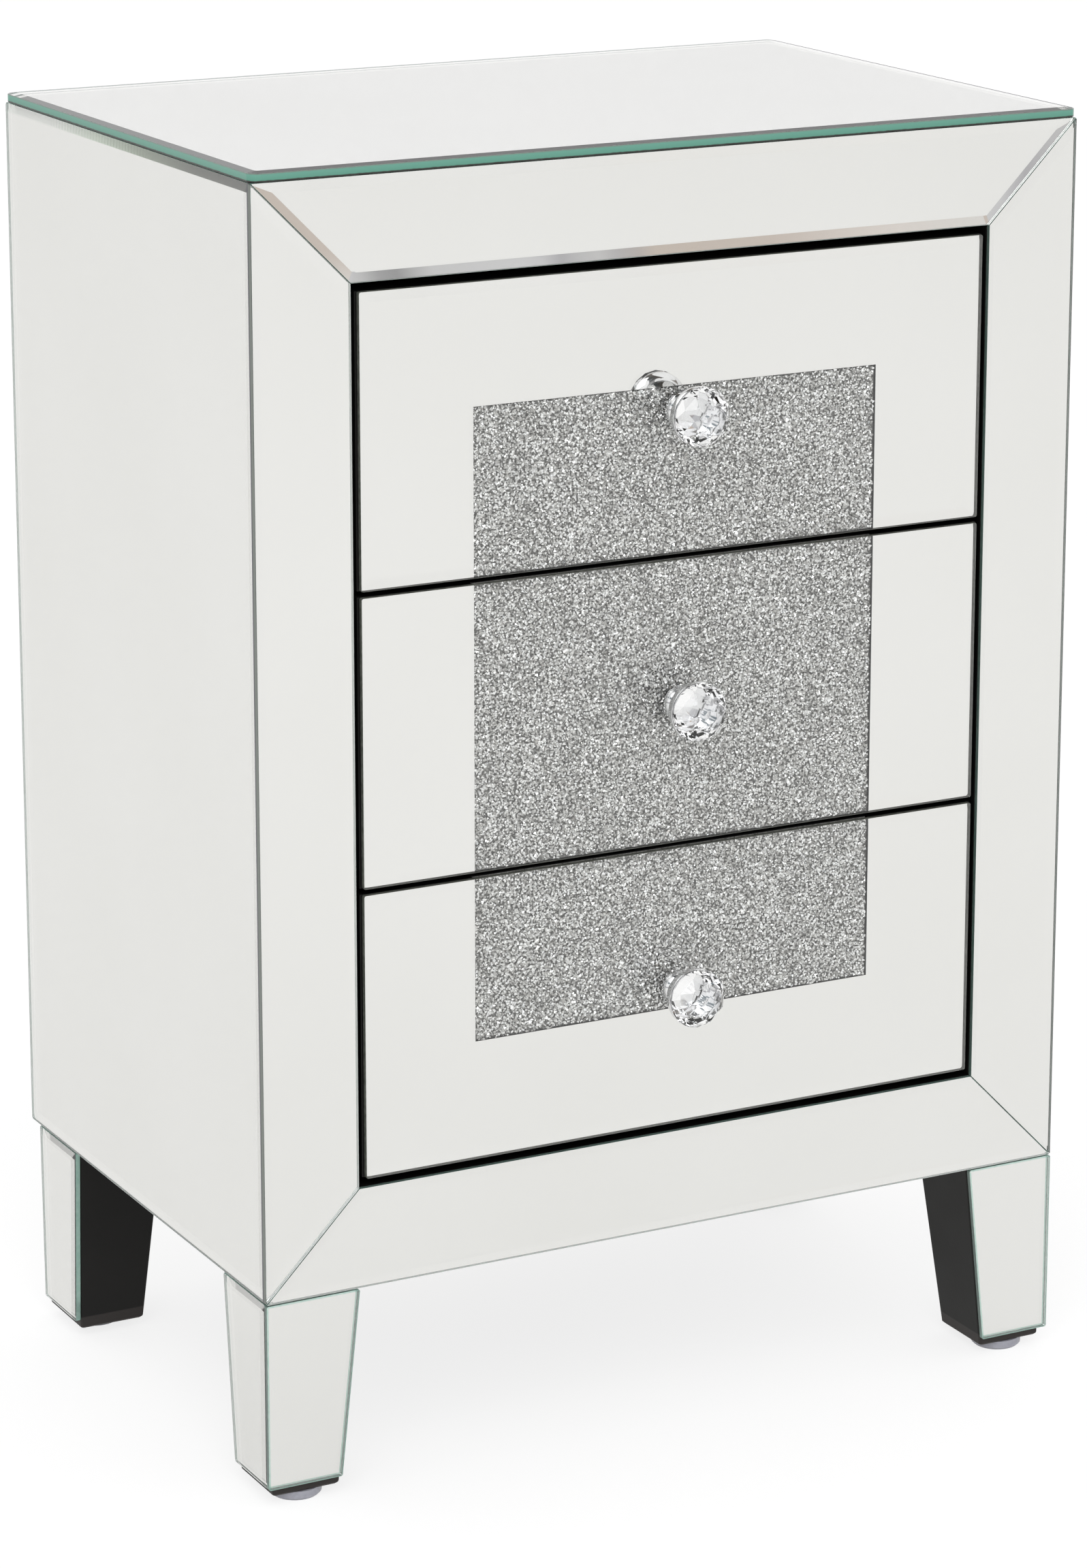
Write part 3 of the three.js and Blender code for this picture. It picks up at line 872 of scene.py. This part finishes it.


# Studio floor: pale paint, white to the camera; in mirrors it is near white, with a painted shadow near the
# object and a painted pool of lamp light, and greyer at its far end

floorLook = {
    "size": 80,
    "paint": (0.8, 0.8, 0.8, 1),
    "white": (1.1, 1.1, 1.1, 1),
    "glow": 0.72,                       # share of the seen floor that shines by itself and takes no shadow
    "mirrored": (1.01, 1.01, 0.99),
    "paintedShadowTone": 0.965,                  # painted shadow: a little darker at the object than 1.8 m out
    "paintedShadowReach": 1.8,
    "farFrom": 6.6,
    "farTo": 8.5,
    "paintedPoolSide": (-0.5, -0.866, 0),      # side of the floor where a pool of lamp light is painted
    "paintedPoolSpread": (0.93, 0.98),
    "paintedPoolReach": (0.6, 1),
    "paintedPoolTone": 1.15,
}
farEnd = [
    (0.0, (0.50, 0.50, 0.51)), (0.412, (0.62, 0.62, 0.63)), (0.4185, (0.20, 0.20, 0.21)),
    (0.424, (0.13, 0.13, 0.14)), (0.427, (0.58, 0.58, 0.59)), (0.452, (0.66, 0.66, 0.68)),
    (0.457, (0.36, 0.35, 0.38)), (0.464, (0.58, 0.58, 0.58)), (0.471, (0.34, 0.31, 0.32)),
    (0.476, (0.56, 0.45, 0.36)), (0.502, (0.60, 0.49, 0.41)), (0.522, (0.80, 0.72, 0.66)),
    (0.55, (0.82, 0.82, 0.80)),
]
backEnd = [
    (0.0, (0.36, 0.36, 0.37)), (0.3, (0.17, 0.155, 0.185)), (0.6, (0.17, 0.155, 0.185)),
    (0.7, (0.36, 0.36, 0.37)),
]


def mirroredRay(sheet):
    return (sheet.lightPath("Is Glossy Ray") + sheet.lightPath("Is Transmission Ray")).upTo(1)


def studioEnd(sheet, place):
    towards = sheet.unit(place)
    aside, forward = (sheet.part(towards, axis) for axis in "XY")
    return sheet.mix(forward > 0, sheet.ramp(aside, farEnd), sheet.ramp(aside, backEnd))


def mirroredFloor(sheet):
    place = sheet.place()
    distance = sheet.add("ShaderNodeVectorMath", {"operation": "LENGTH"}, {0: place}, "Value")
    aim = sheet.dot(sheet.unit(place), floorLook["paintedPoolSide"])
    # painted pool of lamp light and painted shadow of the object, in the floor that mirrors see
    lamp = (sheet.step(aim, *floorLook["paintedPoolSpread"], 0, floorLook["paintedPoolTone"] - 1)
            * sheet.step(distance, *floorLook["paintedPoolReach"], 0, 1))
    shadowAndPool = sheet.step(distance, 0, floorLook["paintedShadowReach"], floorLook["paintedShadowTone"], 1) * (1 + lamp)
    near = sheet.scaled(floorLook["mirrored"], shadowAndPool)
    far = sheet.step(distance, floorLook["farFrom"], floorLook["farTo"], 0, 1)
    return sheet.mix(far, near, studioEnd(sheet, place))


def floorFinish(sheet):
    mirrored = mirroredRay(sheet)
    seen = (sheet.lightPath("Is Camera Ray") + mirrored).upTo(1)
    matt = sheet.add("ShaderNodeBsdfDiffuse", None, {"Color": floorLook["paint"]})
    tone = sheet.mix(mirrored, floorLook["white"], mirroredFloor(sheet))
    glow = sheet.add("ShaderNodeEmission", None, {"Color": tone, "Strength": 1})
    bright = sheet.add("ShaderNodeBsdfDiffuse", None, {"Color": (1, 1, 1, 1)})
    shown = sheet.add("ShaderNodeMixShader", None, {0: floorLook["glow"], 1: bright, 2: glow})
    return sheet.add("ShaderNodeMixShader", None, {0: seen, 1: matt, 2: shown})


def addFloor():
    bpy.ops.mesh.primitive_plane_add(size=floorLook["size"], location=(0, 0, 0))
    floor = bpy.context.object
    floor.name = "studio_floor"
    floor.data.materials.append(finish("studio_floor", floorFinish))


# Studio sky: plain on matt surfaces; mirrors see a pale wall, a dim room in front, a ceiling and softboxes

skyLook = {
    "onMatt": (0.78, 0.78, 0.78, 1),
    "inMirrors": 1.06,
    "ceilingTone": 0.45,
    "ceilingFrom": 0.72,
    "ceilingTo": 0.95,
    "horizonFrom": 0.07,
    "horizonTo": 0.1,
    "roomFrom": 0.34,
    "roomTo": 0.42,
    "roomFront": (-0.02, -0.2),
    "roomTurn": (0.3, 0.62),
    "roomTone": 0.24,
    "roomCool": (0.72, 0.9, 1.0),
    "roomWarm": (1.0, 0.87, 0.77),
    "boxTone": 1.2,
}
softboxes = [
    {"aim": (-0.55, -0.35, 0.75), "from": 0.93, "to": 0.95},
    {"aim": (0.55, -0.5, 0.68), "from": 0.915, "to": 0.93},
    {"aim": (-0.1, -0.9, 0.55), "from": 0.985, "to": 0.99},
    {"aim": (0.15, 0.1, 0.98), "from": 0.965, "to": 0.975},
    {"aim": (0.55, 0.25, 0.8), "from": 0.90, "to": 0.92},
]


def roomTint(name):
    return tuple(skyLook["roomTone"] * part for part in skyLook[name])


def roomColour(sheet, aside):
    coolTo, warmFrom = skyLook["roomTurn"]
    return sheet.ramp(0.5 + 0.5 * aside, [(coolTo, roomTint("roomCool")), (warmFrom, roomTint("roomWarm"))])


def softboxMask(sheet, towards):
    boxes = 0
    for box in softboxes:
        near = sheet.dot(towards, Vector(box["aim"]).normalized())
        boxes = sheet.step(near, box["from"], box["to"], 0, 1) + boxes
    return boxes.upTo(1)


def mirroredSky(sheet, towards):
    aside, forward, height = (sheet.part(towards, axis) for axis in "XYZ")
    ceiling = sheet.step(
        height, skyLook["ceilingFrom"], skyLook["ceilingTo"], skyLook["inMirrors"], skyLook["ceilingTone"])
    room = (sheet.step(height, skyLook["roomFrom"], skyLook["roomTo"], 0, 1)
            * sheet.step(forward, *skyLook["roomFront"], 0, 1))
    walls = sheet.scaled(sheet.mix(room, (1, 1, 1, 1), roomColour(sheet, aside)), ceiling)
    low = sheet.step(height, skyLook["horizonFrom"], skyLook["horizonTo"], 1, 0)
    tone = sheet.mix(low, walls, studioEnd(sheet, towards))
    box = skyLook["boxTone"]
    return sheet.mix(softboxMask(sheet, towards), tone, (box, box, box, 1))


def addSky():
    world = bpy.data.worlds.new("studio_sky")
    bpy.context.scene.world = world
    world.use_nodes = True
    sheet = Sheet(world.node_tree)
    towards = sheet.add("ShaderNodeTexCoord", output="Generated")
    plain = sheet.mix(sheet.lightPath("Is Camera Ray"), skyLook["onMatt"], (1, 1, 1, 1))
    shown = sheet.mix(mirroredRay(sheet), plain, mirroredSky(sheet, towards))
    sky = sheet.add("ShaderNodeBackground", None, {"Color": shown, "Strength": 1})
    sheet.add("ShaderNodeOutputWorld", None, {"Surface": sky})


softbox = {
    "place": (-1.6, -2.6, 3.0),
    "size": 2.4,
    "power": 42,
}


def addSoftbox():
    lamp = bpy.data.lights.new("softbox", "AREA")
    lamp.size = softbox["size"]
    lamp.energy = softbox["power"]
    holder = bpy.data.objects.new("softbox", lamp)
    bpy.context.scene.collection.objects.link(holder)
    holder.location = softbox["place"]
    holder.rotation_euler = (-Vector(softbox["place"])).to_track_quat("-Z", "Y").to_euler()


addFloor()
addSky()
addSoftbox()
print("stage: studio lit")


# Camera at the photograph's place; it looks down a little, so that its shift stays small

photoCamera = {
    "place": (-1.1439, -2.1596, 1.0046),
    "turn": 27.83,
    "tilt": -13.823,
    "lens": 113.103,
    "sensor": 36,
    "shift": -0.12,
}


def addCamera():
    data = bpy.data.cameras.new("photo_camera")
    data.sensor_width = photoCamera["sensor"]
    data.lens = photoCamera["lens"]
    data.shift_y = photoCamera["shift"]
    camera = bpy.data.objects.new("photo_camera", data)
    bpy.context.scene.collection.objects.link(camera)
    camera.location = photoCamera["place"]
    tilt, turn = math.radians(90 + photoCamera["tilt"]), math.radians(photoCamera["turn"])
    camera.rotation_euler = (tilt, 0, -turn)
    bpy.context.scene.camera = camera


addCamera()
bpy.context.scene.view_settings.view_transform = "Standard"
print("stage: camera set")
